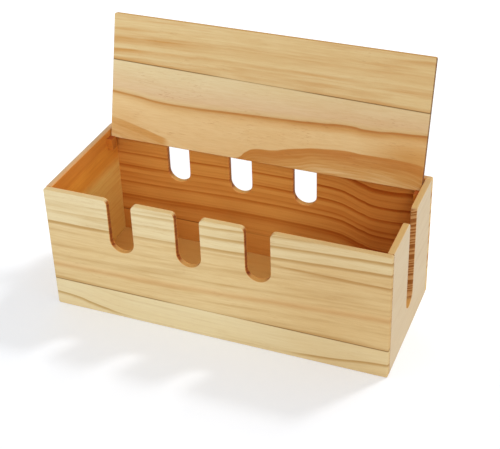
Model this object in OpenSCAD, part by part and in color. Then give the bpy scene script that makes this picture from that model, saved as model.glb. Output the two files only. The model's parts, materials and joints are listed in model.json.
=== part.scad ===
// Wooden cable box with three cable slots in the front, three in the back,
// one in the right side, and a hinged lid that drops in between the walls.
// Millimetres. X runs along the box, the front faces -Y, Z points up, and the
// origin is the middle of the underside. The lid stands open, leaning back.

/* [Box] */
// Outside length of the box
box_length = 332; // [260:1:420]
// Outside depth of the box, front to back
box_depth = 138; // [120:1:180]
// Outside height of the box
box_height = 130; // [110:1:180]
// Thickness of the front, back and side boards
wall = 6; // [5:0.5:8]
// Thickness of the base boards
base_thickness = 6; // [4:0.5:10]
// Radius that takes the sharpness off the top edges
edge_ease = 0.8; // [0.3:0.1:1.2]

/* [Glue lines] */
// Height of the glue line in the front and back panels
panel_joint_height = 30; // [15:1:45]
// Distance of the base's glue line behind the inside of the front panel
base_joint_from_front = 66; // [45:1:80]
// Distance of the lid's glue line from its free edge, at the left end
lid_joint_left = 45.4; // [30:0.1:70]
// Distance of the lid's glue line from its free edge, at the right end
lid_joint_right = 50.9; // [30:0.1:70]

/* [Front and back slots] */
// Number of slots in the front and in the back
slot_count = 3; // [1:1:3]
// Width of each slot
slot_width = 24; // [14:1:34]
// Depth of each slot below the top of the box
slot_depth = 54; // [30:1:80]
// Middle of the first slot from the left end of the box
slot_first = 77; // [60:1:90]
// Distance from one slot to the next
slot_pitch = 67; // [45:1:80]
// Radius of the corners at a slot's mouth
slot_mouth_radius = 5; // [2:0.5:8]
// Offset of the back slots along the box, against the front slots
back_slot_shift = -3; // [-10:0.5:10]

/* [Side slot] */
// Width of the slot in the right side
side_slot_width = 22; // [12:1:40]
// Depth of the side slot below the top of the box
side_slot_depth = 100; // [40:1:102]
// Middle of the side slot behind the middle of the box
side_slot_shift = 0; // [-20:1:20]

/* [Lid] */
// Thickness of the lid
lid_thickness = 6; // [5:0.5:7]
// Gap between each end of the lid and the side panel
lid_end_gap = 0.6; // [0.3:0.1:1.5]
// Gap between the closed lid and the front panel
lid_front_gap = 0.6; // [0.4:0.1:1.5]
// Gap between the closed lid and the back panel
lid_rear_gap = 0.6; // [0.4:0.1:1.5]
// Angle from closed to open
open_angle = 104.5; // [95:0.5:110]

/* [Hinge] */
// Distance from the lid's rear edge to the hinge pins
lid_tail = 6.2; // [5.8:0.1:6.5]
// Distance from the closed lid's upper face down to the hinge pins
hinge_below_top = 2.4; // [2.2:0.1:2.8]
// Radius of the lid's upper rear edge, which turns past the back panel
tail_round = 1.2; // [1:0.1:1.8]
// Radius of the lid's lower rear edge, which meets the stop blocks
heel_round = 0.3; // [0.2:0.1:0.6]
// Diameter of the steel hinge pins
hinge_pin_diameter = 2; // [1.5:0.1:2.4]
// Length of each hinge pin inside the lid
hinge_pin_in_lid = 12; // [6:0.5:25]
// Length of each hinge pin inside the side panel
hinge_pin_in_side = 4.2; // [2.5:0.1:4.4]
// Radial running clearance of the pins in the side panels
hinge_clearance = 0.05; // [0.02:0.01:0.1]

/* [Rests and stops] */
// Gap between the closed lid and what it rests on
lid_seat_gap = 0.3; // [0.2:0.05:1]
// Depth of the front rests, from the front panel inwards
rest_depth = 6; // [4:0.5:10]
// Height of the front rests
rest_height = 6; // [4:0.5:15]
// Distance between a front rest and the nearest slot
rest_slot_margin = 7; // [4:1:15]
// Width of the stop blocks, from the side panels inwards
stop_width = 6; // [4:0.5:10]
// Depth of the stop blocks, front to back
stop_depth = 8; // [5:0.5:14]
// Height of the stop blocks
stop_height = 12; // [8:0.5:25]
// Gap between the open lid and the stop blocks
stop_gap = 0.15; // [0.1:0.05:0.5]

/* [Corner dowels] */
// Number of dowels in each corner of the box
dowel_count = 3; // [2:1:4]
// Diameter of the dowels
dowel_diameter = 3; // [2:0.5:4]
// Length of each dowel inside the front or back panel
dowel_in_panel = 3.5; // [2:0.1:4]
// Length of each dowel inside the side panel
dowel_in_side = 12; // [6:0.5:20]
// Distance of the lowest dowel from the underside
dowel_from_bottom = 18; // [10:1:30]
// Distance of the highest dowel from the top
dowel_from_top = 18; // [12:1:30]
// Room for glue around each dowel
dowel_glue_gap = 0.05; // [0.02:0.01:0.15]

/* [Hidden] */

$fn = 64;

// How far a cutting shape runs past the face that it cuts
overcut = 1;
// Room at the bottom of a blind hole, past the end of its pin or dowel
hole_end_gap = 0.4;

// Inside faces of the four walls
inner_x = box_length / 2 - wall;
inner_front_y = -box_depth / 2 + wall;
inner_back_y = box_depth / 2 - wall;

// Lid, measured when closed
lid_length = 2 * (inner_x - lid_end_gap);
lid_depth = inner_back_y - inner_front_y - lid_front_gap - lid_rear_gap;
lid_reach = lid_depth - lid_tail;
lid_below_pins = lid_thickness - hinge_below_top;

// Hinge axis: the closed lid is flush with the top of the walls
hinge_y = inner_back_y - lid_rear_gap - lid_tail;
hinge_z = box_height - hinge_below_top;
hinge_pin_radius = hinge_pin_diameter / 2;

// Level of everything that the closed lid rests on
seat_z = box_height - lid_thickness - lid_seat_gap;

// Foremost reach of the lid's rear edge when the lid stands open
heel_y = (lid_tail - heel_round) * cos(open_angle)
    - (lid_below_pins - heel_round) * sin(open_angle);
stop_rear_y = hinge_y + heel_y - heel_round - stop_gap;

// Slots along the box
slot_first_x = slot_first - box_length / 2;
slot_last_x = slot_first_x + (slot_count - 1) * slot_pitch;

// Dowels
dowel_radius = dowel_diameter / 2;
dowel_x = box_length / 2 - wall / 2;
dowel_pitch = (box_height - dowel_from_bottom - dowel_from_top) / (dowel_count - 1);

pine = [0.88, 0.74, 0.52];
pine_pale = [0.90, 0.79, 0.63];
pine_deep = [0.80, 0.60, 0.36];
beech = [0.78, 0.62, 0.46];
steel = [0.62, 0.63, 0.65];

// ---------- outlines ----------

// Cable slot hanging from the origin: straight sides, a half-round bottom and
// two rounded corners at its mouth
module slot_outline(width, depth, mouth) {
    straight = depth - width / 2;
    translate([-width / 2, -straight])
        square([width, straight + overcut]);
    translate([0, -straight])
        circle(d = width);
    for (side = [-1, 1])
        scale([side, 1])
            difference() {
                translate([width / 2 - overcut, -mouth])
                    square([mouth + overcut, mouth + overcut]);
                translate([width / 2 + mouth, -mouth])
                    circle(r = mouth);
                translate([width / 2 + mouth, -mouth])
                    square([overcut, mouth + 2 * overcut]);
            }
}

// Front or back panel seen from the front, between two heights
module long_panel_outline(low, high, shift) {
    difference() {
        translate([-box_length / 2, low])
            square([box_length, high - low]);
        for (i = [0 : slot_count - 1])
            translate([slot_first_x + i * slot_pitch + shift, box_height])
                slot_outline(slot_width, slot_depth, slot_mouth_radius);
    }
}

// Side panel seen from the side
module side_panel_outline(slotted) {
    difference() {
        translate([inner_front_y, 0])
            square([inner_back_y - inner_front_y, box_height]);
        if (slotted)
            translate([side_slot_shift, box_height])
                slot_outline(side_slot_width, side_slot_depth, slot_mouth_radius);
    }
}

// Section of a standing board whose two top edges are eased
module eased_section(thickness, height) {
    square([thickness, height - edge_ease]);
    translate([edge_ease, 0])
        square([thickness - 2 * edge_ease, height]);
    for (x = [edge_ease, thickness - edge_ease])
        translate([x, height - edge_ease])
            circle(r = edge_ease);
}

// Section of the lid along Y and Z, from the hinge axis: eased free edge,
// rounded upper rear edge and nearly square lower rear edge
module lid_section() {
    middle = lid_reach - edge_ease + lid_tail - tail_round;
    translate([-lid_reach + edge_ease, -lid_below_pins])
        square([middle, lid_thickness]);
    translate([-lid_reach, -lid_below_pins + edge_ease])
        square([edge_ease, lid_thickness - 2 * edge_ease]);
    for (z = [-lid_below_pins + edge_ease, hinge_below_top - edge_ease])
        translate([-lid_reach + edge_ease, z])
            circle(r = edge_ease);
    translate([lid_tail - tail_round, hinge_below_top - tail_round])
        circle(r = tail_round);
    translate([lid_tail - tail_round, -lid_below_pins + heel_round])
        square([tail_round, lid_thickness - heel_round - tail_round]);
    translate([lid_tail - tail_round, -lid_below_pins])
        square([tail_round - heel_round, lid_thickness - tail_round]);
    translate([lid_tail - heel_round, -lid_below_pins + heel_round])
        circle(r = heel_round);
}

// ---------- placing ----------

// Extrudes an outline drawn in X and Z along Y, from one value to another
module along_y(from, to) {
    translate([0, to, 0])
        rotate([90, 0, 0])
            linear_extrude(to - from)
                children();
}

// Extrudes an outline drawn in Y and Z along X, from one value to another
module along_x(from, to) {
    translate([from, 0, 0])
        rotate([90, 0, 90])
            linear_extrude(to - from)
                children();
}

// Stands the lid open about the hinge axis
module opened() {
    translate([0, hinge_y, hinge_z])
        rotate([-open_angle, 0, 0])
            children();
}

// Round rod or bore along X, from one value to another
module rod_x(radius, from, to) {
    translate([from, 0, 0])
        rotate([0, 90, 0])
            cylinder(r = radius, h = to - from);
}

// Dowels or their holes in one corner: side is -1 for left and 1 for right,
// end is -1 for front and 1 for rear, and the two lengths run from the joint
module corner_rods(side, end, radius, in_panel, in_side) {
    joint_y = end < 0 ? inner_front_y : inner_back_y;
    length = in_panel + in_side;
    start_y = end < 0 ? joint_y - in_panel : joint_y + in_panel - length;
    for (i = [0 : dowel_count - 1])
        translate([side * dowel_x, start_y, dowel_from_bottom + i * dowel_pitch])
            rotate([-90, 0, 0])
                cylinder(r = radius, h = length);
}

module corner_dowels(side, end) {
    corner_rods(side, end, dowel_radius, dowel_in_panel, dowel_in_side);
}

module corner_holes(side, end) {
    corner_rods(side, end, dowel_radius + dowel_glue_gap,
        dowel_in_panel + hole_end_gap, dowel_in_side + hole_end_gap);
}

// ---------- walls ----------

// One board of the front (end = -1) or back (end = 1) panel
module long_panel_board(end, low, high, shift) {
    outer = end * box_depth / 2;
    near = min(outer, outer - end * wall);
    difference() {
        intersection() {
            along_y(near, near + wall)
                long_panel_outline(low, high, shift);
            along_x(-box_length / 2 - overcut, box_length / 2 + overcut)
                translate([near, 0])
                    eased_section(wall, box_height);
        }
        corner_holes(-1, end);
        corner_holes(1, end);
    }
}

module side_panel(side, slotted) {
    near = side < 0 ? -box_length / 2 : inner_x;
    difference() {
        intersection() {
            along_x(near, near + wall)
                side_panel_outline(slotted);
            along_y(inner_front_y - overcut, inner_back_y + overcut)
                translate([near, 0])
                    eased_section(wall, box_height);
        }
        corner_holes(side, -1);
        corner_holes(side, 1);
        translate([side * inner_x, hinge_y, hinge_z])
            scale([side, 1, 1])
                rod_x(hinge_pin_radius + hinge_clearance,
                    -overcut, hinge_pin_in_side + hole_end_gap);
    }
}

module front_upper_board() {
    color(pine)
        long_panel_board(-1, panel_joint_height, box_height, 0);
}

module front_lower_board() {
    color(pine)
        long_panel_board(-1, 0, panel_joint_height, 0);
}

module back_upper_board() {
    color(pine_deep)
        long_panel_board(1, panel_joint_height, box_height, back_slot_shift);
}

module back_lower_board() {
    color(pine_deep)
        long_panel_board(1, 0, panel_joint_height, back_slot_shift);
}

module left_side_panel() {
    color(pine_pale)
        side_panel(-1, false);
}

module right_side_panel() {
    color(pine_pale)
        side_panel(1, true);
}

// ---------- base ----------

module base_board(from_y, to_y) {
    translate([-inner_x, from_y, 0])
        cube([2 * inner_x, to_y - from_y, base_thickness]);
}

module base_front_board() {
    color(pine_deep)
        base_board(inner_front_y, inner_front_y + base_joint_from_front);
}

module base_rear_board() {
    color(pine_deep)
        base_board(inner_front_y + base_joint_from_front, inner_back_y);
}

// ---------- lid ----------

// One board of the lid between two slanting lines, each given by its distances
// from the free edge at the left and at the right end
module lid_board(begin_left, begin_right, stop_left, stop_right) {
    half = lid_length / 2;
    intersection() {
        along_x(-half, half)
            lid_section();
        translate([0, -lid_reach, -lid_thickness])
            linear_extrude(2 * lid_thickness)
                polygon([
                    [-half - overcut, begin_left],
                    [half + overcut, begin_right],
                    [half + overcut, stop_right],
                    [-half - overcut, stop_left]
                ]);
    }
}

module lid_front_board() {
    color(pine)
        opened()
            lid_board(-overcut, -overcut, lid_joint_left, lid_joint_right);
}

module lid_rear_board() {
    color(pine)
        opened()
            difference() {
                lid_board(lid_joint_left, lid_joint_right,
                    lid_depth + overcut, lid_depth + overcut);
                for (side = [-1, 1])
                    scale([side, 1, 1])
                        rod_x(hinge_pin_radius,
                            lid_length / 2 - hinge_pin_in_lid, lid_length / 2 + overcut);
            }
}

// ---------- hinge pins ----------

module hinge_pin(side) {
    opened()
        scale([side, 1, 1])
            rod_x(hinge_pin_radius,
                lid_length / 2 - hinge_pin_in_lid, inner_x + hinge_pin_in_side);
}

module left_hinge_pin() {
    color(steel)
        hinge_pin(-1);
}

module right_hinge_pin() {
    color(steel)
        hinge_pin(1);
}

// ---------- rests and stops ----------

// Block glued to a side panel: the open lid's rear edge comes to rest against
// its back, and the closed lid lies just above it
module stop_block(side) {
    scale([side, 1, 1])
        translate([inner_x - stop_width, stop_rear_y - stop_depth, seat_z - stop_height])
            cube([stop_width, stop_depth, stop_height]);
}

module left_stop_block() {
    color(pine_deep)
        stop_block(-1);
}

module right_stop_block() {
    color(pine_deep)
        stop_block(1);
}

// Strip glued inside the front panel, under the closed lid's free edge
module lid_rest(from_x, to_x) {
    translate([from_x, inner_front_y, seat_z - rest_height])
        cube([to_x - from_x, rest_depth, rest_height]);
}

module left_lid_rest() {
    color(pine_deep)
        lid_rest(-inner_x, slot_first_x - slot_width / 2 - rest_slot_margin);
}

module right_lid_rest() {
    color(pine_deep)
        lid_rest(slot_last_x + slot_width / 2 + rest_slot_margin, inner_x);
}

// ---------- corner dowels ----------

module front_left_dowels() {
    color(beech)
        corner_dowels(-1, -1);
}

module front_right_dowels() {
    color(beech)
        corner_dowels(1, -1);
}

module rear_left_dowels() {
    color(beech)
        corner_dowels(-1, 1);
}

module rear_right_dowels() {
    color(beech)
        corner_dowels(1, 1);
}

front_upper_board();
front_lower_board();
back_upper_board();
back_lower_board();
left_side_panel();
right_side_panel();
base_front_board();
base_rear_board();
lid_front_board();
lid_rear_board();
left_hinge_pin();
right_hinge_pin();
left_stop_block();
right_stop_block();
left_lid_rest();
right_lid_rest();
front_left_dowels();
front_right_dowels();
rear_left_dowels();
rear_right_dowels();
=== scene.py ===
"""Wooden cable box with a hinged lid: glued pine boards with eased edges, clear satin finish.

Metres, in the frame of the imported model: X along the box, front towards -Y, Z up.
Distances inside the wood patterns are in millimetres, because growth rings are.
"""

import json
import math

import bmesh
import bpy
import numpy as np
from mathutils import Matrix, Vector


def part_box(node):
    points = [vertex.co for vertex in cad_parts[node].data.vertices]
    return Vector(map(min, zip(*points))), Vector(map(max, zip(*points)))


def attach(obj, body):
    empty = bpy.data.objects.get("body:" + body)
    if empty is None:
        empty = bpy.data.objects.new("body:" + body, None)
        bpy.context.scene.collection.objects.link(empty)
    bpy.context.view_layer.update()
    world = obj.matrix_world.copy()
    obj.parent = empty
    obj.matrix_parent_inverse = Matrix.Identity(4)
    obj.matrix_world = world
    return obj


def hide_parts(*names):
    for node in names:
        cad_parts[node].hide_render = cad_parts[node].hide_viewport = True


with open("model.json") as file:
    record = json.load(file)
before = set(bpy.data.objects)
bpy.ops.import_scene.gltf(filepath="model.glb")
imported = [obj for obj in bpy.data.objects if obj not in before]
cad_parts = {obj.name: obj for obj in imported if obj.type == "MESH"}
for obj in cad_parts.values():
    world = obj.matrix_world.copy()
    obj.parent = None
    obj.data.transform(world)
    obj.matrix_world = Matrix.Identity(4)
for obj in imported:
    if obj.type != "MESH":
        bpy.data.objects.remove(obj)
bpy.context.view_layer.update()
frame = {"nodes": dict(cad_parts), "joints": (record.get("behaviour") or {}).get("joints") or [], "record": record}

MM = 0.001
X = (1, 0, 0)
Y = (0, 1, 0)
Z = (0, 0, 1)
LEFT = (-1, 0, 0)
FRONT = (0, -1, 0)

# Box, from the solids: half its length and depth, its height, the height of the glued joint
# in its long panels, the top of its base, and its length between the sides
PANEL_LOW, PANEL_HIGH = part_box("front_upper_board")
BASE_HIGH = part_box("base_front_board")[1]
HALF_LENGTH = PANEL_HIGH.x
HALF_DEPTH = -PANEL_LOW.y
BOX_HEIGHT = PANEL_HIGH.z
PANEL_SEAM = PANEL_LOW.z
BASE_TOP = BASE_HIGH.z
INNER_LENGTH = 2 * BASE_HIGH.x

# Cable slots, as in the solids
SLOT_WIDTH = 24 * MM
SLOT_BOTTOM = 76 * MM
SLOT_FIRST_X = -89 * MM
SLOT_PITCH = 67 * MM
SLOT_COUNT = 3
BACK_SLOT_SHIFT = -3 * MM
SIDE_SLOT_WIDTH = 22 * MM
SIDE_SLOT_BOTTOM = 30 * MM
MOUTH_RADIUS = 5 * MM

# Lid, open: hinge axis and sizes, as in the solids
HINGE = next(j for j in frame["joints"] if j["name"] == "lid_hinge")
OPEN_ANGLE = math.radians(HINGE["range_deg"][1])
PIVOT = Vector(HINGE["pos_m"])
LID_TAIL = 6.2 * MM
PINS_BELOW_TOP = 2.4 * MM
LID_THICKNESS = 6 * MM
LID_DEPTH = 124.8 * MM
LID_SEAM_LEFT = 45.4 * MM
LID_SEAM_RIGHT = 50.9 * MM
LEAN = OPEN_ANGLE - math.pi / 2
LID_UP = (0, math.sin(LEAN), math.cos(LEAN))
LID_BACK = (0, math.cos(LEAN), -math.sin(LEAN))
LID_EDGE = PIVOT.dot(Vector(LID_UP)) + LID_DEPTH - LID_TAIL
LID_FACE = PIVOT.dot(Vector(LID_BACK)) + PINS_BELOW_TOP - LID_THICKNESS

# Eased edges: plain ones, the ends of the long panels, glued edges, and small blocks
EASE = 0.8 * MM
CORNER_EASE = 1.6 * MM
GLUED_EASE = 0.1 * MM
BLOCK_EASE = 0.4 * MM
CORNER_RADIUS = 1.6 * MM
ARC_STEPS = 8
EASE_STEPS = 4
# Points closer than this are one, and edges that turn by more than this stay sharp
SAME_POINT = 0.001 * MM
SHARP_TURN = math.radians(50)


# ---------- boards ----------

def outline(corners, radii, eases, inset):
    """Closed outline, counter-clockwise, with round corners.

    Each edge is first moved inwards by inset times its own ease. A corner is then
    where the two moved lines meet: with unit normals n and m and distances a and b,
    it moves by ((a - b c) n + (b - a c) m) / (1 - c c), where c = n . m. The arc
    there runs from normal n to normal m about a centre that lies one radius from
    both lines. A convex radius shrinks by the inset and a hollow one grows.
    """
    corners = np.asarray(corners, float)
    radii = np.asarray(radii, float)
    eases = np.broadcast_to(np.asarray(eases, float), len(corners)) * inset
    edge = np.roll(corners, -1, axis=0) - corners
    edge /= np.linalg.norm(edge, axis=1)[:, None]
    normal = np.stack([edge[:, 1], -edge[:, 0]], axis=1)
    before, after = np.roll(normal, 1, axis=0), normal
    a, b = np.roll(eases, 1), eases
    cosine = (before * after).sum(axis=1)
    share = 1 / (1 - cosine**2)
    move = ((a - b * cosine) * share)[:, None] * before
    move += ((b - a * cosine) * share)[:, None] * after
    middle = corners - move
    sine = before[:, 0] * after[:, 1] - before[:, 1] * after[:, 0]
    turn = np.arctan2(sine, cosine)
    sign = np.sign(turn)
    radius = np.maximum(radii - sign * np.minimum(a, b), 0)
    reach = radius * np.tan(np.abs(turn) / 2)
    centre = middle - np.roll(edge, 1, axis=0) * reach[:, None]
    centre -= before * (radius * sign)[:, None]
    start = np.arctan2(before[:, 1], before[:, 0])
    angle = start[:, None] + turn[:, None] * np.linspace(0, 1, ARC_STEPS + 1)
    ray = np.stack([np.cos(angle), np.sin(angle)], axis=2)
    points = centre[:, None] + ray * (radius * sign)[:, None, None]
    return points.reshape(-1, 2)


def slab(name, corners, radii, eases, thickness, place, ease=EASE):
    """Board from an outline (u, v) and a thickness w: rings of the outline stacked along w.

    The rings run from the lower face to the upper one. In both eased corners the
    inset is 1 - sin(t) and the height ease * (1 - cos(t)), for t from 0 to a right
    angle, so the edge is a quarter round. place is the matrix that takes u, v, w
    to the frame.
    """
    turn = np.linspace(0, math.pi / 2, EASE_STEPS + 1)
    inset = 1 - np.sin(turn)
    height = ease * (1 - np.cos(turn))
    insets = np.concatenate([inset, inset[::-1]])
    heights = np.concatenate([height, thickness - height[::-1]])
    rings = [outline(corners, radii, eases, i) for i in insets]
    count = len(rings[0])
    levels = [np.column_stack([ring, np.full(count, h)]) for ring, h in zip(rings, heights)]
    verts = np.concatenate(levels)
    turned = verts @ np.array(place.to_3x3()).T + np.array(place.translation)
    i = np.arange(count)
    j = np.roll(i, -1)
    base = (np.arange(len(rings) - 1) * count)[:, None]
    quads = np.stack([base + i, base + j, base + count + j, base + count + i], axis=2)
    faces = quads.reshape(-1, 4).tolist()
    faces.append(i[::-1].tolist())
    faces.append((i + (len(rings) - 1) * count).tolist())
    mesh = bpy.data.meshes.new(name)
    mesh.from_pydata(turned.tolist(), [], faces)
    return finished(name, mesh)


def finished(name, mesh):
    """Object of a mesh with its doubled points joined, smooth quarter rounds and flat faces."""
    work = bmesh.new()
    work.from_mesh(mesh)
    bmesh.ops.remove_doubles(work, verts=work.verts, dist=SAME_POINT)
    bmesh.ops.dissolve_degenerate(work, edges=work.edges, dist=SAME_POINT)
    work.to_mesh(mesh)
    work.free()
    mesh.shade_smooth()
    mesh.set_sharp_from_angle(angle=SHARP_TURN)
    piece = bpy.data.objects.new(name, mesh)
    bpy.context.scene.collection.objects.link(piece)
    weights = piece.modifiers.new("flat_faces", "WEIGHTED_NORMAL")
    weights.keep_sharp = True
    return piece


def axes(u, v, origin):
    """Matrix that takes u, v and w = u x v to the frame, from an origin."""
    u, v = Vector(u), Vector(v)
    matrix = Matrix((u, v, u.cross(v))).transposed().to_4x4()
    matrix.translation = Vector(origin)
    return matrix


def slotted(left, right, low, high, slots, width, bottom):
    """Corners and radii of a board whose cable slots open at its top, from the lower left.

    The outline runs counter-clockwise, so along the top it goes from right to left. A slot has
    a half round foot and a flared mouth.
    """
    corners = [(left, low), (right, low), (right, high)]
    radii = [CORNER_RADIUS] * 3
    half = width / 2
    for x in sorted(slots, reverse=True):
        corners += [(x + half, high), (x + half, bottom), (x - half, bottom), (x - half, high)]
        radii += [MOUTH_RADIUS, half, half, MOUTH_RADIUS]
    corners.append((left, high))
    radii.append(CORNER_RADIUS)
    return corners, radii


# ---------- colours and node trees ----------

def srgb(red, green, blue):
    """Screen colour 0 to 255 as a linear colour with alpha: straight in the darkest part, and
    above it ((screen + 0.055) / 1.055) to the power 2.4."""
    screen = np.array([red, green, blue]) / 255
    linear = np.where(screen <= 0.04045, screen / 12.92, ((screen + 0.055) / 1.055) ** 2.4)
    return (*linear.tolist(), 1.0)


class Signal:
    """A number, vector or colour in a node tree. Arithmetic on numbers adds Math nodes."""

    def __init__(self, paint, socket):
        self.paint = paint
        self.socket = socket

    def math(self, operation, *values):
        """Math node of an operation on its values."""
        sockets = dict(enumerate(values))
        return self.paint.node("ShaderNodeMath", {"operation": operation}, sockets)

    def __add__(self, other):
        return self.math("ADD", self, other)

    __radd__ = __add__

    def __sub__(self, other):
        return self.math("SUBTRACT", self, other)

    def __rsub__(self, other):
        return self.math("SUBTRACT", other, self)

    def __mul__(self, other):
        return self.math("MULTIPLY", self, other)

    __rmul__ = __mul__

    def __truediv__(self, other):
        return self.math("DIVIDE", self, other)

    def __abs__(self):
        return self.math("ABSOLUTE", self)

    def __pow__(self, other):
        return self.math("POWER", self, other)

    def fraction(self):
        return self.math("FRACT", self)

    def floor(self):
        return self.math("FLOOR", self)

    def larger(self, other):
        return self.math("MAXIMUM", self, other)


class Paint:
    """The node tree of a material or of the world."""

    def __init__(self, owner):
        self.owner = owner
        owner.use_nodes = True
        self.tree = owner.node_tree
        self.tree.nodes.clear()

    def node(self, kind, settings=None, sockets=None, output=0):
        """Adds a node: its settings first, then the values or links of its sockets."""
        node = self.tree.nodes.new(kind)
        for key, value in (settings or {}).items():
            if key == "stops":
                self.set_stops(node.color_ramp, value)
            elif key == "curve":
                self.set_curve(node.mapping, value)
            else:
                setattr(node, key, value)
        for key, value in (sockets or {}).items():
            if isinstance(value, Signal):
                self.tree.links.new(value.socket, node.inputs[key])
            else:
                node.inputs[key].default_value = value
        return Signal(self, node.outputs[output]) if node.outputs else None

    @staticmethod
    def set_stops(ramp, stops):
        """Gives a colour ramp its stops (position from 0 to 1, colour)."""
        while len(ramp.elements) < len(stops):
            ramp.elements.new(1.0)
        for element, (position, colour) in zip(ramp.elements, stops):
            element.position = position
            element.color = colour

    @staticmethod
    def set_curve(mapping, points):
        """Gives a curve its points (place, height), both from 0 to 1."""
        curve = mapping.curves[0]
        while len(curve.points) < len(points):
            curve.points.new(0.5, 0.5)
        for point, (x, y) in zip(curve.points, points):
            point.location = (x, y)
        mapping.update()

    def place(self):
        """Where a point lies, in the frame."""
        return self.node("ShaderNodeTexCoord", output="Object")

    def facing(self):
        """The way the surface faces, in the frame."""
        return self.node("ShaderNodeTexCoord", output="Normal")

    def along(self, vector, axis, start=0.0, scale=1.0):
        """Distance along an axis, from a start, times a scale."""
        dot = self.node("ShaderNodeVectorMath", {"operation": "DOT_PRODUCT"},
                        {0: vector, 1: axis}, output="Value")
        return (dot - start) * scale

    def vector(self, x, y, z):
        """Vector of three numbers."""
        return self.node("ShaderNodeCombineXYZ", None, {0: x, 1: y, 2: z})

    def noise(self, x, y, z, detail, seed=0.0):
        """Cloudy value about zero, from -0.5 to 0.5."""
        settings = {"noise_dimensions": "4D"}
        sockets = {"Vector": self.vector(x, y, z), "W": seed, "Scale": 1.0, "Detail": detail}
        return self.node("ShaderNodeTexNoise", settings, sockets) - 0.5

    def noise_line(self, x):
        """Cloudy value along one line, from 0 to 1."""
        settings = {"noise_dimensions": "1D"}
        return self.node("ShaderNodeTexNoise", settings, {"W": x, "Scale": 1.0, "Detail": 1.0})

    def smooth(self, value, low, high, start=0.0, end=1.0):
        """Smooth step of a value between two levels, from a start to an end."""
        sockets = {"Value": value, "From Min": low, "From Max": high, "To Min": start, "To Max": end}
        return self.node("ShaderNodeMapRange", {"interpolation_type": "SMOOTHSTEP"}, sockets)

    def ramp(self, value, stops):
        """Colour from stops (value, colour)."""
        low, high = stops[0][0], stops[-1][0]
        scaled = [((at - low) / (high - low), colour) for at, colour in stops]
        return self.node("ShaderNodeValToRGB", {"stops": scaled}, {0: (value - low) / (high - low)})

    def follow(self, value, points):
        """Smooth curve through points (value, height)."""
        xs, ys = zip(*points)
        low, span = min(ys), max(ys) - min(ys)
        length = xs[-1] - xs[0]
        scaled = [((x - xs[0]) / length, (y - low) / span) for x, y in points]
        sockets = {"Value": (value - xs[0]) / length}
        return self.node("ShaderNodeFloatCurve", {"curve": scaled}, sockets) * span + low

    def mix(self, factor, first, second, blend="MIX"):
        """Mixes two colours, from the first at 0 to the second at 1."""
        settings = {"data_type": "RGBA", "blend_type": blend}
        return self.node("ShaderNodeMix", settings, {0: factor, 6: first, 7: second}, output=2)

    def tint(self, colour, tint, factor=1.0):
        """Colour times a tint, as far as the factor says."""
        return self.mix(factor, colour, tint, "MULTIPLY")

    def bump(self, height, strength, distance):
        """Normal of a surface with a relief."""
        sockets = {"Strength": strength, "Distance": distance, "Height": height}
        return self.node("ShaderNodeBump", None, sockets)

    def surface(self, **sockets):
        """Principled surface; an underscore in a socket's name stands for a space."""
        named = {key.replace("_", " "): value for key, value in sockets.items()}
        shader = self.node("ShaderNodeBsdfPrincipled", None, named)
        self.node("ShaderNodeOutputMaterial", None, {"Surface": shader})
        return self.owner


# ---------- tints of the pine ----------

# Ground colours of the boards
CREAM = srgb(236, 219, 174)
STRAW = srgb(231, 205, 151)
BISCUIT = srgb(230, 195, 138)
OAT = srgb(233, 210, 157)
HONEY = srgb(246, 221, 167)
ROSE = srgb(232, 205, 162)
LINEN = srgb(219, 195, 153)
AMBER = srgb(255, 228, 176)
# Painted shade: the blocks inside the box take the dark orange of the shaded walls beside them
BLOCK_SHADE_TONE = srgb(204, 128, 46)

# Tints laid over a ground: none, two grades of painted shade along a board where the light
# falls off, and what lies in the wood
BARE = srgb(255, 255, 255)
SHADE = srgb(242, 234, 224)
DEEP_SHADE = srgb(232, 210, 190)
FIBRE = srgb(232, 214, 184)
CLOUD = srgb(246, 234, 210)
FLECK = srgb(200, 150, 95)
GLUE = srgb(160, 136, 80)

# Tints of cut faces: painted highlight for the rims, a dark core that is partly end grain and
# partly painted shade, a greyer brown, pale tan, grey end grain, pale tips, and painted light
# for ledges
CUT_RIM_HIGHLIGHT = srgb(240, 184, 116)
CUT_CORE_GRAIN_AND_SHADE = srgb(178, 110, 42)
GREY_BROWN = srgb(178, 136, 84)
TAN = srgb(240, 205, 165)
GREY_GRAIN = srgb(178, 163, 148)
TIP_GRAIN = srgb(255, 250, 242)
# Painted light on cut faces that look up, such as the bottoms of the slots
LEDGE_LIGHT = srgb(255, 238, 204)

# Painted shade on inside faces: the deeper orange of the box's shaded inside, and painted
# light low down on the left wall
INSIDE_SHADE = srgb(252, 210, 148)
LIT_LOW_INSIDE = srgb(255, 250, 192)
GOLD_INSIDE_SHADE = srgb(245, 196, 106)
DEEP_INSIDE_SHADE = srgb(228, 170, 92)

# Tints of faces that look up: painted shade on the tops of the walls and lid, a painted
# highlight along their inner arris, and an even tint for the base
TOP_SHADE = srgb(234, 220, 198)
ARRIS_HIGHLIGHT = srgb(255, 226, 188)
GREY_TOP_SHADE = srgb(204, 192, 188)
WARM_TOP_SHADE = srgb(214, 182, 150)
SAND_TOP_SHADE = srgb(240, 220, 180)
BASE_CROWN = srgb(252, 218, 158)


def even(colour):
    """Stops of one colour all over."""
    return [(0, colour), (1, colour)]


def stained(middle, dark):
    """Stops (amount of late wood, tint), from no change to the dark tint of full late wood."""
    return [(0.0, BARE), (0.5, srgb(*middle)), (1.0, srgb(*dark))]


# Tint by the amount of late wood: the common one, front and right side, lid, and back
STAIN = stained((230, 196, 149), (216, 166, 92))
UMBER = stained((218, 196, 158), (196, 160, 104))
RUSSET = stained((230, 200, 156), (214, 164, 98))
CHESTNUT = stained((224, 190, 150), (200, 150, 94))

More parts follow.
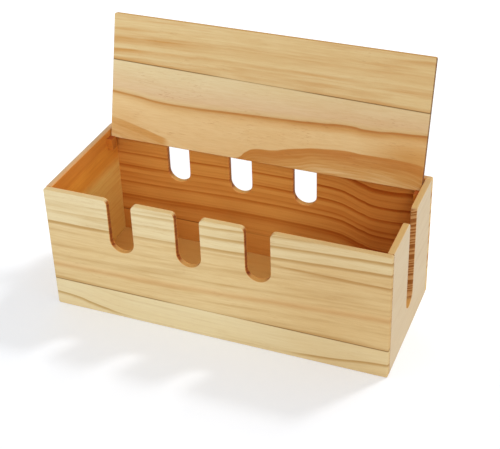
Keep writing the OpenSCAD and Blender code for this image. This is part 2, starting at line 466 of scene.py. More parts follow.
# Tint of a cut face by its depth in the board, in millimetres: a dark core, partly end grain
# and partly painted shade, between painted highlights at the rims; a greyer brown towards
# the back's rear face with the painted highlight at its inner rim; even tan; even grey end grain
CUT = [(0.4, CUT_RIM_HIGHLIGHT), (1.4, CUT_CORE_GRAIN_AND_SHADE), (4.0, CUT_CORE_GRAIN_AND_SHADE), (5.6, CUT_RIM_HIGHLIGHT)]
GREY_BROWN_CUT = [(3.0, GREY_BROWN), (5.6, CUT_RIM_HIGHLIGHT)]
TAN_CUT = even(TAN)
GREY_CUT = even(GREY_GRAIN)

# Painted shade of an inside face by its height: even, or on the left wall painted light low
# down that deepens to painted shade near the top
EVEN_INSIDE_SHADE = even(INSIDE_SHADE)
LEFT_INSIDE_SHADE = [(84, LIT_LOW_INSIDE), (97, GOLD_INSIDE_SHADE), (108, GOLD_INSIDE_SHADE), (122, DEEP_INSIDE_SHADE)]

# Tint of a face that looks up by its depth in the board: painted shade with a painted highlight
# at the inner arris, painted shade from grey to warm on the left wall and blocks, or an even
# tint on the base
TOP_SHADE_AND_HIGHLIGHT = [(4.8, TOP_SHADE), (5.4, ARRIS_HIGHLIGHT)]
SAND_TOP_SHADE_AND_HIGHLIGHT = [(4.8, SAND_TOP_SHADE), (5.4, ARRIS_HIGHLIGHT)]
SHADED_CROWN = [(1.6, GREY_TOP_SHADE), (3.4, WARM_TOP_SHADE)]
PLAIN_CROWN = even(BASE_CROWN)

NO_CHANGE = even(BARE)


# ---------- pine ----------

# How each board is cut from the wood: the direction of its grain, the direction across the
# board and its start, the direction into the board and the place of its seen face
FRONT_CUT = (X, Z, 0, Y, -HALF_DEPTH)
BACK_CUT = (X, Z, 0, FRONT, -HALF_DEPTH)
LEFT_CUT = (Y, Z, 0, X, -HALF_LENGTH)
RIGHT_CUT = (Y, Z, 0, LEFT, -HALF_LENGTH)
BASE_CUT = (X, Y, 0, Z, BASE_TOP)
LID_CUT = (X, LID_UP, LID_EDGE, LID_BACK, LID_FACE)

# Cloudy patterns: their size in millimetres along the grain, across the board and into it,
# then their detail and the shift of their seed
SLOW_WAVE = (120, 30, 30, 1, 0)
QUICK_WAVE = (30, 9, 9, 1, 3)
RING_PATCH = (60, 25, 25, 1, 7)
LINE_PATCH = (50, 10, 10, 2, 11)
FIBRES = (13, 0.8, 0.8, 3, 17)
CLOUDS = (70, 18, 18, 2, 23)
PORES = (8, 0.5, 0.5, 1, 29)
PORE_PATCH = (30, 12, 12, 1, 31)
SOFT_BANDS = (90, 4.5, 20, 2, 41)

# Values of a pattern between which it grows from none to all
FIBRE_STEP = (-0.25, 0.3)
CLOUD_STEP = (-0.3, 0.3)
PORE_STEP = (0.12, 0.22)
PORE_PATCH_STEP = (-0.1, 0.2)
BAND_STEP = (-0.02, 0.22)
CLOUD_STRENGTH = 0.35

# Rings: lean into the board, wander of the fine ones and how many rings it spans, and how a
# fine one darkens and ends
RING_LEAN = 0.4
RING_WANDER = 3
WANDER_SPAN = 4
RING_POWER = 2.5
RING_END = 0.86

# Cosine between a face and a direction, from where it doesn't count to where it fully does
UPWARDS = (0.5, 0.9)
INWARDS = (0.3, 0.8)
ENDWAYS = (0.35, 0.95)
# What a face that looks up loses of its late wood, and takes of the ledge's painted light where
# cut
CROWN_LOSS = 0.7
LEDGE_LIGHT_SHARE = 0.8
# Millimetres along the grain where the tips of a long board start
TIPS = (158, 162)
# Heights between which the cut edges give way to the rim of the box
RIM = (BOX_HEIGHT / MM - 5, BOX_HEIGHT / MM - 1)

# Glued joints: where the line is faintest, and the smooth steps of its strength away from
# there, of its own width and of the darker wood above it
FAINT_PLACE = -5
FAINT_SPAN = (20, 65, 0.35, 1.0)
GLUE_WIDTH = (0.2, 0.9, 0.8, 0.0)
GLUE_SHADE = (0.2, 4.5, 0.28, 0.0)

# Satin lacquer on faces, none on cut edges
SATIN_ROUGHNESS = 0.46
SATIN_SHINE = 0.35
COAT = 0.12
COAT_ROUGHNESS = 0.3
RELIEF_STRENGTH = 0.25
RELIEF_DEPTH = 0.12 * MM


class Grain:
    """Where a point lies in a board's wood and which way its surface faces.

    In millimetres, run is its distance along the grain, rise across the board and deep below
    the seen face. level is its height in the stack of growth rings: the rise, plus the lean
    times the depth, less the bend, plus a slow and a quick wave. up, inside, end and edge say
    how far the surface looks up, inwards, along the grain and out of the board's edge.
    """

    def __init__(self, paint, cut, bend, waves, seed):
        direction, across, start, inward, face = cut
        spot = paint.place()
        self.paint = paint
        self.seed = seed
        self.run = paint.along(spot, direction, 0.0, 1 / MM)
        self.rise = paint.along(spot, across, start, 1 / MM)
        self.deep = paint.along(spot, inward, face, 1 / MM)
        self.level = self.rise + self.deep * RING_LEAN
        if bend:
            self.level = self.level - bend(self)
        slow, quick = waves
        self.level = self.level + self.noise(SLOW_WAVE) * (2 * slow)
        self.level = self.level + self.noise(QUICK_WAVE) * (2 * quick)
        facing = paint.facing()
        facing_in = paint.along(facing, inward)
        self.up = paint.smooth(paint.along(facing, Z), *UPWARDS)
        self.inside = paint.smooth(facing_in, *INWARDS)
        self.end = paint.smooth(abs(paint.along(facing, direction)), *ENDWAYS)
        self.edge = paint.smooth(abs(facing_in), *INWARDS, 1.0, 0.0)

    def noise(self, pattern, across=None):
        """Cloudy value of a pattern, about zero; across may take the place of the rise."""
        length, width, depth, detail, shift = pattern
        across = self.rise if across is None else across
        return self.paint.noise(self.run / length, across / width, self.deep / depth,
                                detail, self.seed + shift)


def fine_rings(grain, spacing):
    """Fine rings, a spacing of level apart.

    The count of rings is level / spacing plus a noise of up to RING_WANDER. Within a ring the
    amount is its part to the power RING_POWER, and it falls to nothing from RING_END on. Each
    ring has a strength of its own, from 0.2 to 1.
    """
    paint = grain.paint
    slow_count = grain.level / (spacing * WANDER_SPAN)
    wander = paint.noise_line(slow_count + grain.seed) * RING_WANDER
    count = grain.level / spacing + wander
    part = count.fraction()
    grown = (part ** RING_POWER) * paint.smooth(part, RING_END, 1.0, 1.0, 0.0)
    strength = paint.node("ShaderNodeTexWhiteNoise", {"noise_dimensions": "1D"},
                          {"W": count.floor() + grain.seed})
    return grown * (strength * 0.8 + 0.2)


def common_rings(grain, ring, fine, bands):
    """Late wood all over a board: fine rings and soft bands of level, stronger in patches.

    With a patch from 0 to 1, fine rings are 0.2 + 1.2 patch of their amount and soft bands
    0.1 + 1.5 patch.
    """
    patch = grain.noise(RING_PATCH) + 0.5
    soft = grain.paint.smooth(grain.noise(SOFT_BANDS, across=grain.level), *BAND_STEP)
    return ring * (patch * 1.2 + 0.2) * fine + soft * (patch * 1.5 + 0.1) * bands


def line_rings(grain, lines, fade):
    """Late wood of single rings: an amount by level, uneven along the grain and times fade."""
    paint = grain.paint
    uneven = grain.noise(LINE_PATCH) * 1.2 + 1.0
    if fade:
        uneven = uneven * paint.follow(grain.run, fade)
    grey = [(level, (amount, amount, amount, 1)) for level, amount in lines]
    return paint.ramp(grain.level, grey) * uneven


def joint_marks(grain, seam):
    """Amounts of late wood above a glued joint and of glue in it, fainter near the middle."""
    paint = grain.paint
    gap = grain.rise - seam(grain.run)
    kept = paint.smooth(abs(grain.run - FAINT_PLACE), *FAINT_SPAN)
    above = paint.smooth(gap, *GLUE_SHADE) * paint.smooth(gap, 0.0, GLUE_SHADE[0]) * kept
    return above, paint.smooth(abs(gap), *GLUE_WIDTH) * kept


def pore_flecks(grain):
    """Short dark flecks along the grain, in patches."""
    paint = grain.paint
    fleck = paint.smooth(grain.noise(PORES), *PORE_STEP)
    return fleck * paint.smooth(grain.noise(PORE_PATCH), *PORE_PATCH_STEP)


def cut_share(grain, rim):
    """How far a face is a cut one: end grain and edges, but for the rim of the box."""
    edge = grain.edge
    if rim:
        edge = edge * grain.paint.smooth(grain.rise, *RIM, 1.0, 0.0)
    return edge.larger(grain.end)


def cut_colour(grain, ring, growth, stain, cut_tint, tip):
    """Tint of a cut face: by its depth, stained by end grain rings, painted light on ledges."""
    paint = grain.paint
    tint = paint.tint(paint.ramp(ring * grain.end * growth, stain), paint.ramp(grain.deep, cut_tint))
    # painted light on the ledges of the slots
    tint = paint.mix(grain.up * LEDGE_LIGHT_SHARE, tint, LEDGE_LIGHT)
    if tip:
        tint = paint.mix(paint.smooth(abs(grain.run), *TIPS), tint, tip)
    return tint


def wood(name, cut, ground, painted_shade=None, stain=STAIN, bend=None, waves=(0.6, 0.5), rings=4.5,
         fine=0.2, bands=0.25, lines=(), fade=None, figure=None, seam=None, streaks=0.22,
         flecks=0.3, cut_tint=CUT, growth=1.3, tip=None, rim=False, top_tint=TOP_SHADE_AND_HIGHLIGHT,
         inside_shade=EVEN_INSIDE_SHADE, seed=0.0):
    """Clear finished pine, cut through growth rings.

    Its colour is the ground by level, times a painted shade along the grain where the light
    falls off across the box, times the stain by the amount of late wood, which is the dark
    part of a ring. That amount adds up the fine rings (their distance is rings, times fine),
    the soft bands (times bands), the single rings of lines (times fade along the grain), the
    figure, and the darker wood above the glued seam. It is less on faces that look up. Over it
    lie fibres (by streaks), clouds, pores (by flecks) and the glue.

    Cut faces take cut_tint by depth, stained by growth times the rings of the end grain, and
    tip at both tips of the board. The common cut_tint is a dark core, partly end grain and
    partly painted shade, between painted highlights at the rims, and a cut face that looks up
    takes painted light. With rim, its upper edge is the rim of the box and isn't a cut face.
    Faces that look up take top_tint by depth, painted shade with a painted highlight along the
    inner arris on most boards, and inside faces a painted shade by height. Fibres make the
    surface rougher and higher, late wood smoother and lower, pores lower and cut faces
    rougher. bend and waves shape the level.
    """
    paint = Paint(bpy.data.materials.new(name))
    grain = Grain(paint, cut, bend, waves, seed)
    colour = paint.ramp(grain.level, ground)
    # painted shade along the board, where the light falls off towards one end and in the corners
    if painted_shade:
        colour = paint.tint(colour, paint.ramp(grain.run, painted_shade))

    ring = fine_rings(grain, rings)
    late = common_rings(grain, ring, fine, bands)
    if lines:
        late = late + line_rings(grain, lines, fade)
    if figure:
        late = late + figure(grain)
    if seam:
        above, glue = joint_marks(grain, seam)
        late = late + above
    late = late * (1 - grain.up * CROWN_LOSS)
    colour = paint.tint(colour, paint.ramp(late, stain))

    fibre = grain.noise(FIBRES)
    fleck = pore_flecks(grain)
    cloud = paint.smooth(grain.noise(CLOUDS), *CLOUD_STEP, 0.0, CLOUD_STRENGTH)
    colour = paint.tint(colour, FIBRE, paint.smooth(fibre, *FIBRE_STEP, 0.0, streaks))
    colour = paint.tint(colour, CLOUD, cloud)
    colour = paint.tint(colour, FLECK, fleck * flecks)
    if seam:
        colour = paint.tint(colour, GLUE, glue)

    cut_face = cut_share(grain, rim)
    # cut faces: with the common tint a dark core, partly end grain and partly painted shade, and painted
    # highlights at the rims
    sawn = cut_colour(grain, ring, growth, stain, cut_tint, tip)
    colour = paint.tint(colour, sawn, cut_face)
    # painted shade on faces that look up, with a painted highlight along the inner arris
    colour = paint.tint(colour, paint.ramp(grain.deep, top_tint), grain.up)
    # painted shade of the box's inside, by height
    colour = paint.tint(colour, paint.ramp(grain.rise, inside_shade), grain.inside)
    height = fibre * 0.25 - late * 0.3 - fleck * 0.3
    return paint.surface(
        Base_Color=colour,
        Roughness=SATIN_ROUGHNESS + fibre * 0.12 - late * 0.1 + cut_face * 0.4,
        Normal=paint.bump(height, RELIEF_STRENGTH, RELIEF_DEPTH),
        Specular_IOR_Level=SATIN_SHINE,
        Coat_Weight=COAT - cut_face * COAT,
        Coat_Roughness=COAT_ROUGHNESS,
    )


# ---------- growth rings of each board ----------

# Single rings, in millimetres above their level: where one grows, where its crest is, how
# soon it ends above that, and the fade past which a straight one grows in two steps
RING_GROWTH = (-4.0, -0.3)
RING_CREST = 0.3
RING_FALL = 0.8
LONG_FADE = 4

# Smooth steps here are given as from, to, start and end, in millimetres of run, rise or level.
# Foot ring: its middle along the board and its strength away from there
FOOT_MIDDLE = -10
FOOT_ENDS = (70, 110, 0.12, 0.55)

# Lid's arches: the rise where they take over, their strength at the left and at the right,
# and the levels where they fade downwards and end above
ARCH_RISE = (-122, -80, 1.0, 0.0)
ARCH_LEFT = (-104, -94, 0.5, 0.0)
ARCH_RIGHT = (-60, -20, 0.0, 0.95)
ARCH_FADE = (-122, -101, 0.35, 1.05)
ARCH_END = (-101, -100)
ARCH_STREAK = (45, 1.8)
ARCH_SEED = 3.0
STREAK_STRENGTH = 1.2
# Glow above the arches: its strength at the left and at the right, and how it fades upwards
GLOW_LEFT = (-150, -110, 0.15, 0.0)
GLOW_RIGHT = (90, 150, 0.1, 0.5)
GLOW_FADE = (-96, -78, 1.0, 0.0)
# Trail above the glow: how it grows and ends with the level, and its strength along the lid
TRAIL_GROWTH = (-88, -79, 0.0, 0.25)
TRAIL_END = (-78.5, -77.5, 1.0, 0.0)
TRAIL_RUN = (-80, 60, 0.2, 1.0)


def strata(*rings):
    """Stops (level, amount) of single dark rings, from their place, amount, fade and edge.

    Each ring grows over its fade below its place and ends sharply over its edge above it. One
    that grows over more than LONG_FADE is at half its amount a third of the fade below.
    """
    stops = []
    for spot, amount, fade, edge in sorted(rings):
        stops.append((spot - fade, 0.0))
        if fade > LONG_FADE:
            stops.append((spot - fade / 3, amount * 0.5))
        stops += [(spot, amount), (spot + edge, 0.0)]
    return stops


def bent(points):
    """Function that lowers the rings by a smooth curve of the distance along the grain."""
    def shift(grain):
        return grain.paint.follow(grain.run, points)
    return shift


def lid_bend(grain):
    """Rings of the lid: nearly straight at its middle, and deep arches towards the hinge."""
    straight = grain.paint.follow(grain.run, [
        (-160, -0.2), (-130, -2.7), (-100, -5.2), (-80, -5.2), (-20, -3.2), (20, -1.7), (60, 0.3),
        (88, 2), (101, 0.9), (130, 2.8), (160, 4.5)])
    arches = grain.paint.follow(grain.run, [
        (-160, -4.2), (-140, -8.4), (-117, -13.2), (-100, -17), (-75, -22), (-50, -26), (-26, -24),
        (-15, -17), (0, -12.2), (10, -11.8), (25, -8.6), (40, -5.3), (60, -0.3), (100, 1.5),
        (130, -0.2), (160, -6.1)])
    share = grain.paint.smooth(grain.rise, *ARCH_RISE)
    return straight + (arches - straight) * share


def dark_ring(grain, gap, crest):
    """Amount of one ring by the gap above its level: it grows from below and ends sharply."""
    grown = grain.paint.smooth(gap, *RING_GROWTH)
    return grown * grain.paint.smooth(gap, crest, crest + RING_FALL, 1.0, 0.0)


def single_rings(*rings):
    """Function that adds up dark rings, from the levels and amounts of each along the grain."""
    def amount(grain):
        total = 0.0
        for levels, amounts in rings:
            gap = grain.level - grain.paint.follow(grain.run, levels)
            strength = grain.paint.follow(grain.run, amounts)
            total = dark_ring(grain, gap, RING_CREST) * strength + total
        return total
    return amount


def foot_ring(grain):
    """Dark ring of the front's lower board, at level 0: strong towards both ends."""
    strength = grain.paint.smooth(abs(grain.run - FOOT_MIDDLE), *FOOT_ENDS)
    return dark_ring(grain, grain.level, 0.0) * strength


def lid_arch(grain):
    """Dark arches of the lid, with a glow above them at both ends and a thin trail above that.

    The arches are darker at the right. They end sharply above and fade downwards in streaks.
    Their amount is their strength times their fade with its streaks, below that end, plus the
    glow and the trail above it.
    """
    paint, run, level = grain.paint, grain.run, grain.level
    above = paint.smooth(level, *ARCH_END)
    strength = paint.smooth(run, *ARCH_LEFT) + paint.smooth(run, *ARCH_RIGHT)
    length, width = ARCH_STREAK
    streak = paint.noise(run / length, level / width, 0, 2, ARCH_SEED) * STREAK_STRENGTH
    arches = strength * (paint.smooth(level, *ARCH_FADE) + streak) * (1 - above)
    ends = paint.smooth(run, *GLOW_RIGHT) + paint.smooth(run, *GLOW_LEFT)
    glow = ends * paint.smooth(level, *GLOW_FADE) * above
    trail = paint.smooth(level, *TRAIL_GROWTH) * paint.smooth(level, *TRAIL_END)
    return arches + glow + trail * paint.smooth(run, *TRAIL_RUN)


def panel_glue(run):
    """Height of the glued joint in the front and back panels."""
    return PANEL_SEAM / MM


def lid_glue(run):
    """Place of the glued joint in the lid, below its free edge: a slant along the lid."""
    slope = (LID_SEAM_LEFT - LID_SEAM_RIGHT) / INNER_LENGTH
    return run * slope - (LID_SEAM_LEFT + LID_SEAM_RIGHT) / 2 / MM


# Rings of the boards, in millimetres: how far they are lowered along the grain, and the dark
# ones of the front, each with its levels and its amounts along the grain
front_rise = bent([(-166, -0.6), (-130, -0.2), (-100, 0.6), (-60, 1.6), (-10, 4.4), (10, 5.4),
                   (30, 6.8), (60, 9.1), (100, 11.6), (130, 13.4), (166, 15.5)])
front_foot = bent([(-166, 14.3), (-145, 12.8), (-130, 9.6), (-113, 6.2), (-90, 3.4), (0, 3),
                   (60, 4), (90, 6), (120, 9), (141, 12.5), (166, 15)])
front_rings = single_rings(
    ([(-166, 90), (10, 92), (80, 87.5), (120, 85), (166, 82.5)],
     [(-166, 0.05), (-20, 0.05), (10, 0.2), (80, 0.25), (120, 0.4), (166, 0.45)]),
    ([(-166, 96.5), (0, 96.8), (166, 96.3)],
     [(-166, 0.65), (-110, 0.5), (-60, 0.35), (10, 0.5), (120, 0.5), (166, 0.6)]),
    ([(-166, 108.5), (-125, 108.6), (-60, 110.3), (10, 109.2), (60, 108.8), (166, 108.4)],
     [(-166, 0.15), (-125, 0.25), (-60, 0.2), (10, 0.4), (80, 0.45), (166, 0.65)]),
    ([(-166, 119), (-125, 119), (-60, 121.3), (10, 119.3), (166, 119)],
     [(-166, 0.1), (-125, 0.15), (-60, 0.3), (10, 0.3), (166, 0.25)]))
lid_rise = bent([(-160, -3.5), (-120, -2), (-60, -0.5), (0, 0), (60, 0.5), (160, 1)])
back_rise = bent([(-166, -2.5), (-110, -1.5), (-80, 0), (-36, 1.5), (0, 2), (40, 1.5), (60, 0.8),
                  (75, -0.5), (88, -4), (102, -9), (120, -12), (145, -10.5), (166, -8)])

# Straight dark rings: place, amount, fade and edge in strata, or stops of level and amount
FRONT_LINES = strata(
    (37, 0.1, 3, 1.5), (48, 0.22, 6, 3), (59, 0.15, 4, 3), (71, 0.08, 4, 3), (80, 0.06, 3, 1),
    (88, 0.1, 5, 1), (101, 0.05, 2, 1), (114, 0.05, 2, 1))
BACK_LINES = strata(
    (53, 0.7, 6, 2), (70, 0.7, 5, 0.8), (76, 0.3, 3, 0.8), (89.5, 0.6, 4, 0.8),
    (104, 0.9, 3, 0.8), (112, 0.2, 3, 0.8), (123, 1.0, 6, 0.8))
LID_FRONT_LINES = [
    (-37, 0.0), (-33.5, 0.25), (-31.5, 0.25), (-30, 0.0), (-27, 0.0), (-23, 0.28), (-20, 0.3),
    (-17, 0.05), (-13, 0.0), (-11, 0.15), (-9, 0.0)]
LID_REAR_LINES = [
    (-92, 0.0), (-84, 0.06), (-79.5, 0.25), (-78.2, 0.5), (-77.6, 1.0), (-76.5, 1.0),
    (-75.8, 0.12), (-73.5, 0.0)]

# Ground colours by level, painted shade along the grain where the light falls off, and fades
# along the grain
FRONT_GROUND = [(43, STRAW), (48, BISCUIT), (54, STRAW), (92, STRAW), (99, CREAM)]
FRONT_FOOT_GROUND = [(-20, STRAW), (0, CREAM)]
LID_REAR_GROUND = [(-82, HONEY), (-76, STRAW), (-70, ROSE), (-50, CREAM)]
FRONT_PAINTED_SHADE = [(0, BARE), (110, SHADE)]
BACK_PAINTED_SHADE = [(-162, BARE), (-160, SHADE), (-110, BARE), (20, BARE), (110, DEEP_SHADE), (160, DEEP_SHADE),
              (162, BARE)]
LID_PAINTED_SHADE = [(-160, BARE), (160, SHADE)]
BACK_FADE = [(-166, 0.8), (0, 0.8), (80, 1.3), (166, 1.6)]
LID_FRONT_FADE = [(-160, 1.5), (-100, 1), (-40, 0.5), (60, 0.4), (160, 0.4)]
LID_REAR_FADE = [(-160, 0.8), (-60, 0.78), (20, 0.85), (100, 0.95), (160, 1.05)]

# Finish of each board; what isn't named here is as wood has it
looks = {
    "front_upper": dict(
        cut=FRONT_CUT, ground=FRONT_GROUND, painted_shade=FRONT_PAINTED_SHADE, stain=UMBER, bend=front_rise,
        fine=0.15, bands=0.2, lines=FRONT_LINES, figure=front_rings, seam=panel_glue,
        streaks=0.35, tip=TIP_GRAIN, rim=True, seed=1.3),
    "front_lower": dict(
        cut=FRONT_CUT, ground=FRONT_FOOT_GROUND, painted_shade=FRONT_PAINTED_SHADE, stain=UMBER, bend=front_foot,
        fine=0.1, bands=0.1, figure=foot_ring, seam=panel_glue, tip=TIP_GRAIN, seed=5.1),
    "back_upper": dict(
        cut=BACK_CUT, ground=even(STRAW), painted_shade=BACK_PAINTED_SHADE, stain=CHESTNUT, bend=back_rise,
        fine=0.5, lines=BACK_LINES, fade=BACK_FADE, seam=panel_glue, cut_tint=GREY_BROWN_CUT,
        tip=TIP_GRAIN, rim=True, seed=9.7),
    "back_lower": dict(
        cut=BACK_CUT, ground=even(STRAW), painted_shade=BACK_PAINTED_SHADE, seam=panel_glue, tip=TIP_GRAIN,
        seed=14.2),
    "left_side": dict(
        cut=LEFT_CUT, ground=even(AMBER), fine=0.3, streaks=0.45, bands=0.2, rim=True,
        top_tint=SHADED_CROWN, inside_shade=LEFT_INSIDE_SHADE, seed=18.0),
    "right_side": dict(
        cut=RIGHT_CUT, ground=even(LINEN), stain=UMBER, rings=4.2, fine=0.1, bands=0.1,
        cut_tint=TAN_CUT, growth=6.0, rim=True, top_tint=SAND_TOP_SHADE_AND_HIGHLIGHT, seed=22.9),
    "base": dict(
        cut=BASE_CUT, ground=even(CREAM), top_tint=PLAIN_CROWN, inside_shade=NO_CHANGE, seed=27.5),
    "lid_front": dict(
        cut=LID_CUT, ground=even(OAT), painted_shade=LID_PAINTED_SHADE, bend=lid_rise, waves=(1.0, 0.8),
        lines=LID_FRONT_LINES, fade=LID_FRONT_FADE, seam=lid_glue, streaks=0.35,
        cut_tint=GREY_CUT, inside_shade=NO_CHANGE, seed=31.4),
    "lid_rear": dict(
        cut=LID_CUT, ground=LID_REAR_GROUND, painted_shade=LID_PAINTED_SHADE, stain=RUSSET, bend=lid_bend,
        waves=(0.3, 0.5), fine=0.08, bands=0.08, lines=LID_REAR_LINES, fade=LID_REAR_FADE,
        figure=lid_arch, seam=lid_glue, streaks=0.35, flecks=0.6, cut_tint=GREY_CUT,
        inside_shade=NO_CHANGE, seed=36.6),
    "block": dict(
        cut=FRONT_CUT, ground=even(BLOCK_SHADE_TONE), fine=0.1, bands=0.1, cut_tint=NO_CHANGE, growth=0.0,
        top_tint=SHADED_CROWN, inside_shade=NO_CHANGE, seed=40.0),
}
finishes = {name: wood(name, **look) for name, look in looks.items()}


# ---------- pieces ----------

def dress(piece, node, finish):
    """Gives a piece its finish, rides it on its node's body and lets it stand for the node."""
    piece.data.materials.append(finishes[finish])
    body = next(b for b, nodes in frame["record"]["behaviour"]["bodies"].items() if node in nodes)
    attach(piece, body)
    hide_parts(node)
    return piece


def long_panel(side, shift):
    """Two boards of the front or back panel, glued edge to edge."""
    for part in ("upper", "lower"):
        node = f"{side}_{part}_board"
        low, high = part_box(node)
        slots = []
        if part == "upper":
            slots = [SLOT_FIRST_X + i * SLOT_PITCH + shift for i in range(SLOT_COUNT)]
        corners, radii = slotted(low.x, high.x, low.z, high.z, slots, SLOT_WIDTH, SLOT_BOTTOM)
        eases = [EASE] * len(corners)
        # Edges 1 and -1 are the board's ends, and the glued one is its lower or its upper edge
        eases[1] = eases[-1] = CORNER_EASE
        glued = 0 if part == "upper" else 2
        eases[glued] = GLUED_EASE
        radii[glued] = radii[glued + 1] = 0
        place = axes(X, Z, (0, high.y, 0))
        board = slab(f"{side}_{part}_wood", corners, radii, eases, high.y - low.y, place)
        dress(board, node, f"{side}_{part}")


def side_panel(side, slots):
    """Side board between the front and back panels: its two ends and foot are plain."""
    node = f"{side}_side_panel"
    low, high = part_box(node)
    corners, radii = slotted(low.y, high.y, low.z, high.z, slots, SIDE_SLOT_WIDTH, SIDE_SLOT_BOTTOM)
    eases = [EASE] * len(corners)
    eases[1] = eases[-1] = GLUED_EASE
    radii[0] = radii[1] = radii[2] = radii[-1] = 0
    place = axes(Y, Z, (low.x, 0, 0))
    board = slab(f"{side}_side_wood", corners, radii, eases, high.x - low.x, place)
    dress(board, node, f"{side}_side")


def lid_board(part, corners, radii, eases):
    """Lid board in its open place: u along X, v up the leaning lid, w towards the front."""
    place = axes(X, LID_UP, PIVOT + Vector(LID_BACK) * PINS_BELOW_TOP)
    board = slab(f"lid_{part}_wood", corners, radii, eases, LID_THICKNESS, place)
    dress(board, f"lid_{part}_board", f"lid_{part}")


def lid():
    """Two boards, glued along a joint that slants from the left end to the right."""
    low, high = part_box("lid_front_board")
    top = LID_DEPTH - LID_TAIL
    left_seam, right_seam = top - LID_SEAM_LEFT, top - LID_SEAM_RIGHT
    lid_board("front", [(low.x, left_seam), (high.x, right_seam), (high.x, top), (low.x, top)],
              [0, 0, CORNER_RADIUS, CORNER_RADIUS], [GLUED_EASE, EASE, EASE, EASE])
    lid_board("rear", [(low.x, -LID_TAIL), (high.x, -LID_TAIL), (high.x, right_seam),
                       (low.x, left_seam)],
              [CORNER_RADIUS, CORNER_RADIUS, 0, 0], [EASE, EASE, GLUED_EASE, EASE])


def block(node, finish):
    """Plain block with softened edges that fills its node's box."""
    low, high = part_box(node)
    corners = [(low.x, low.y), (high.x, low.y), (high.x, high.y), (low.x, high.y)]
    place = axes(X, Y, (0, 0, low.z))
    piece = slab(f"{node}_wood", corners, [BLOCK_EASE] * 4, BLOCK_EASE, high.z - low.z, place,
                 BLOCK_EASE)
    dress(piece, node, finish)


long_panel("front", 0)
long_panel("back", BACK_SLOT_SHIFT)
side_panel("left", [])
side_panel("right", [0])
lid()
for name in ("base_front_board", "base_rear_board"):
    block(name, "base")
for name in ("left_stop_block", "right_stop_block", "left_lid_rest", "right_lid_rest"):
    block(name, "block")


# ---------- steel and beech ----------

DARK_STEEL = srgb(190, 190, 194)
PALE_STEEL = srgb(214, 214, 216)
STEEL_ROUGHNESS = 0.35
PALE_BEECH = srgb(214, 172, 132)
DARK_BEECH = srgb(176, 126, 88)
BEECH_ROUGHNESS = 0.6
# Lines of the steel and flecks of the beech per metre, along X, Y and Z
STEEL_LINES = (20, 8000, 8000)
BEECH_FLECKS = (3000, 300, 3000)


def stretched_noise(paint, scales, detail):
    """Cloudy value about zero, with its own scale along X, Y and Z."""
    spot = paint.place()
    steps = [paint.along(spot, axis, 0, scale) for axis, scale in zip((X, Y, Z), scales)]
    return paint.noise(*steps, detail)


def steel():
    """Drawn steel: fine lines along X in its colour, roughness and height."""
    paint = Paint(bpy.data.materials.new("steel_pin"))
    drawn = stretched_noise(paint, STEEL_LINES, 2)
    return paint.surface(
        Base_Color=paint.mix(drawn + 0.5, DARK_STEEL, PALE_STEEL), Metallic=1.0,
        Roughness=drawn * 0.2 + STEEL_ROUGHNESS, Normal=paint.bump(drawn, 0.2, 0.02 * MM))


def beech():
    """Turned beech: short dark flecks on pinkish wood."""
    paint = Paint(bpy.data.materials.new("beech_dowel"))
    flecks = stretched_noise(paint, BEECH_FLECKS, 1)
    return paint.surface(
        Base_Color=paint.mix(paint.smooth(flecks, 0.0, 0.25), PALE_BEECH, DARK_BEECH),
        Roughness=BEECH_ROUGHNESS, Normal=paint.bump(flecks, 0.2, 0.1 * MM))


def repaint(names, material):
    """Gives nodes of the solids a material, each on its own object."""
    for name in names:
        for place in frame["nodes"][name].material_slots:
            place.link = "OBJECT"
            place.material = material


repaint(["left_hinge_pin", "right_hinge_pin"], steel())
repaint([f"{a}_{b}_dowels" for a in ("front", "rear") for b in ("left", "right")], beech())


# ---------- studio ----------

# Light: the strength of the surroundings, and the suns with their strength, their width in
# the sky and the direction in which their light travels
AMBIENT = 0.64
KEY_STRENGTH = 0.63
KEY_ANGLE = math.radians(7)
KEY_TRAVEL = (-59, -80, -130)
HALO_STRENGTH = 0.25
HALO_ANGLE = math.radians(12)
HALO_TRAVEL = (-60, -108, -130)
FILL_STRENGTH = 0.95
FILL_ANGLE = math.radians(20)

FLOOR_HALF = 4.0
FLOOR_PAPER = (0.86, 0.885, 0.93, 1)
PAPER_ROUGHNESS = 0.9
PAPER_SHINE = 0.1
# Glow of the floor to the camera in front of the box and behind it, and where it changes
FLOOR_GLOW = (0.145, 0.3)
GLOW_SPAN = (-0.02, 0.07)
WHITE = (1, 1, 1, 1)
BLACK = (0, 0, 0, 1)

# Camera: its place, how far it stands to the right and above, its roll, lens and shift
CAMERA_PLACE = (0.3596, -0.8267, 0.6843)
CAMERA_AZIMUTH = math.radians(21.52)
CAMERA_ELEVATION = math.radians(31.69)
CAMERA_ROLL = math.radians(-1.26)
CAMERA_LENS = 82.8
CAMERA_SHIFT = (-0.0452, -0.0815)
CAMERA_REACH = 20
VIEW = Vector((
    -math.sin(CAMERA_AZIMUTH) * math.cos(CAMERA_ELEVATION),
    math.cos(CAMERA_AZIMUTH) * math.cos(CAMERA_ELEVATION),
    -math.sin(CAMERA_ELEVATION)))


def white_world():
    """Even studio light; where the camera or a reflection looks past the floor, it is white."""
    world = bpy.data.worlds.new("studio")
    bpy.context.scene.world = world
    paint = Paint(world)
    direct, glossy, clear = [
        paint.node("ShaderNodeLightPath", output=f"Is {kind} Ray")
        for kind in ("Camera", "Glossy", "Transmission")]
    seen = direct.larger(glossy.larger(clear))
    light = paint.node("ShaderNodeBackground", None, {"Color": WHITE, "Strength": AMBIENT})
    backdrop = paint.node("ShaderNodeBackground", None, {"Color": WHITE})
    both = paint.node("ShaderNodeMixShader", None, {0: seen, 1: light, 2: backdrop})
    paint.node("ShaderNodeOutputWorld", None, {"Surface": both})


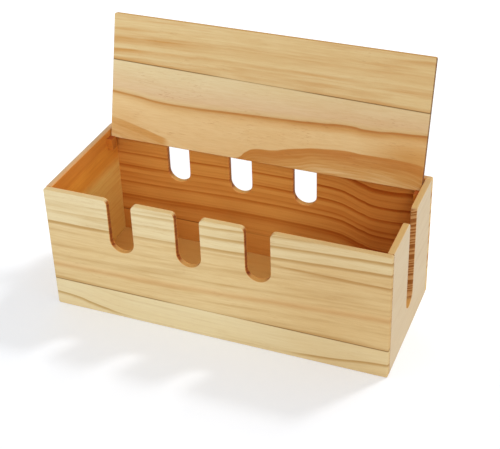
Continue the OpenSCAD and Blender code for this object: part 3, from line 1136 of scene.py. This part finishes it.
def floor():
    """White paper under the box that also glows a little to the camera, more behind the box."""
    mesh = bpy.data.meshes.new("floor")
    h = FLOOR_HALF
    mesh.from_pydata([(-h, -h, 0), (h, -h, 0), (h, h, 0), (-h, h, 0)], [], [(0, 1, 2, 3)])
    plane = bpy.data.objects.new("floor", mesh)
    bpy.context.scene.collection.objects.link(plane)
    paint = Paint(bpy.data.materials.new("floor_paper"))
    seen = paint.node("ShaderNodeLightPath", output="Is Camera Ray")
    glow = paint.smooth(paint.along(paint.place(), Y), *GLOW_SPAN, *FLOOR_GLOW)
    mesh.materials.append(paint.surface(
        Base_Color=FLOOR_PAPER, Roughness=PAPER_ROUGHNESS, Specular_IOR_Level=PAPER_SHINE,
        Emission_Color=paint.mix(seen * glow, BLACK, WHITE), Emission_Strength=1.0))


def sun(name, travel, strength, angle):
    """Sun lamp by the direction its light travels, its strength and its width in the sky."""
    lamp = bpy.data.lights.new(name, "SUN")
    lamp.energy = strength
    lamp.angle = angle
    body = bpy.data.objects.new(name, lamp)
    body.rotation_euler = Vector(travel).to_track_quat("-Z", "Y").to_euler()
    bpy.context.scene.collection.objects.link(body)


def camera():
    """Camera by its place, its azimuth to the right of the front, elevation and roll."""
    right = VIEW.cross(Vector(Z)).normalized()
    up = right.cross(VIEW)
    cosine, sine = math.cos(CAMERA_ROLL), math.sin(CAMERA_ROLL)
    rolled = right * cosine + up * sine
    upright = up * cosine - right * sine
    lens = bpy.data.cameras.new("camera")
    lens.lens = CAMERA_LENS
    lens.shift_x, lens.shift_y = CAMERA_SHIFT
    lens.clip_end = CAMERA_REACH
    eye = bpy.data.objects.new("camera", lens)
    eye.matrix_world = Matrix((rolled, upright, -VIEW)).transposed().to_4x4()
    eye.location = CAMERA_PLACE
    bpy.context.scene.collection.objects.link(eye)
    bpy.context.scene.camera = eye


white_world()
floor()
sun("key", KEY_TRAVEL, KEY_STRENGTH, KEY_ANGLE)
sun("halo", HALO_TRAVEL, HALO_STRENGTH, HALO_ANGLE)
sun("fill", VIEW, FILL_STRENGTH, FILL_ANGLE)
camera()
bpy.context.scene.view_settings.view_transform = "Standard"
